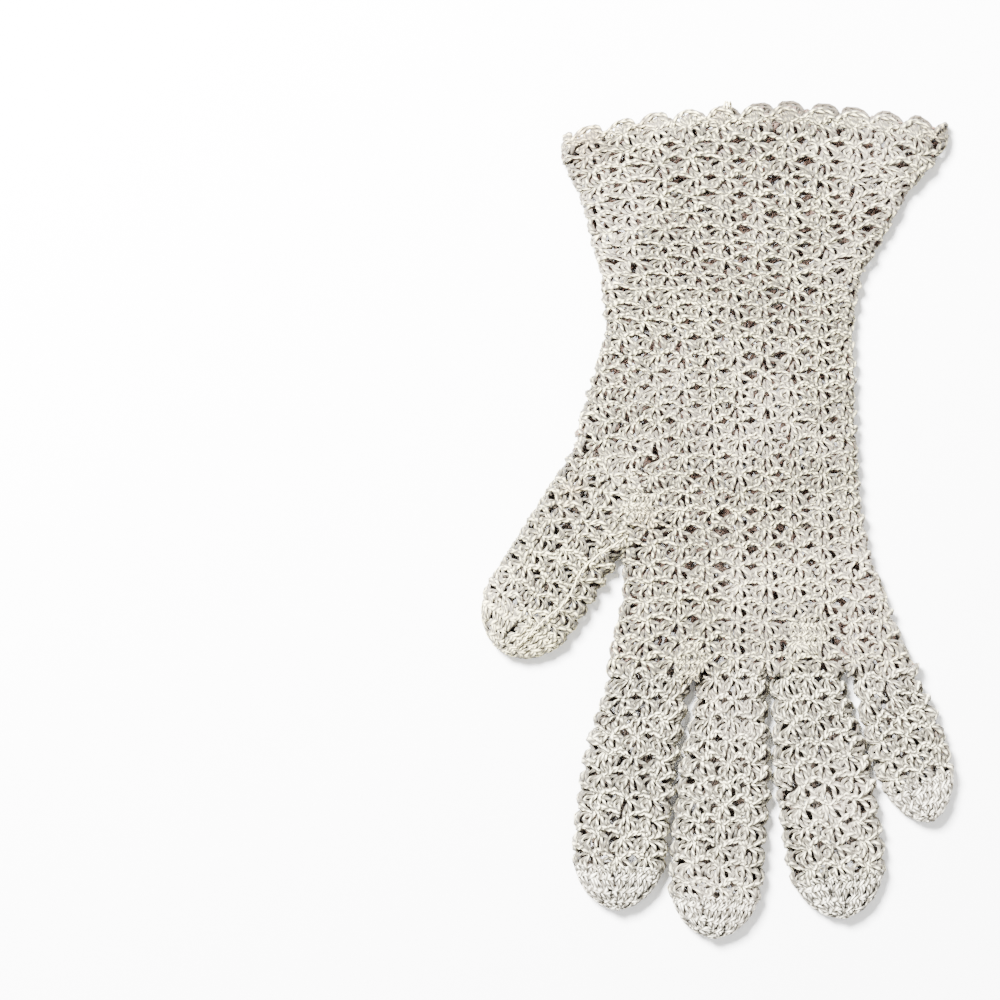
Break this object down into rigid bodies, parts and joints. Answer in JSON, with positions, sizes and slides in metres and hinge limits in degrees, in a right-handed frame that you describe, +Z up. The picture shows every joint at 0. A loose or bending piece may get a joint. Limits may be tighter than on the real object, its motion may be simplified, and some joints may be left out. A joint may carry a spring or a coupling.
{
  "type": "crochet glove",
  "caption": "Lady's gauntlet glove in openwork cotton crochet, lying flat, with a flared scalloped cuff and closely worked fingertips.",
  "frame": {"origin": "on the underside, at the middle of the glove's outline as it lies flat", "axes": "+Y from the fingertips towards the cuff's rim, +X across the hand towards the little finger, +Z up from the surface it lies on"},
  "size_m": [0.1558, 0.2762, 0.0096],
  "materials": {
    "shell_stitch": "ivory mercerised cotton thread in open shell stitch",
    "close_stitch": "ivory mercerised cotton thread in close rounds"
  },
  "bodies": {
    "root": {"hand": "shell_stitch", "gauntlet": "shell_stitch", "cuff_edging": "shell_stitch", "thumb": "shell_stitch", "index_finger": "shell_stitch", "middle_finger": "shell_stitch", "ring_finger": "shell_stitch", "little_finger": "shell_stitch", "thumb_tip": "close_stitch", "index_tip": "close_stitch", "middle_tip": "close_stitch", "ring_tip": "close_stitch", "little_tip": "close_stitch"}
  },
  "joints": []
}
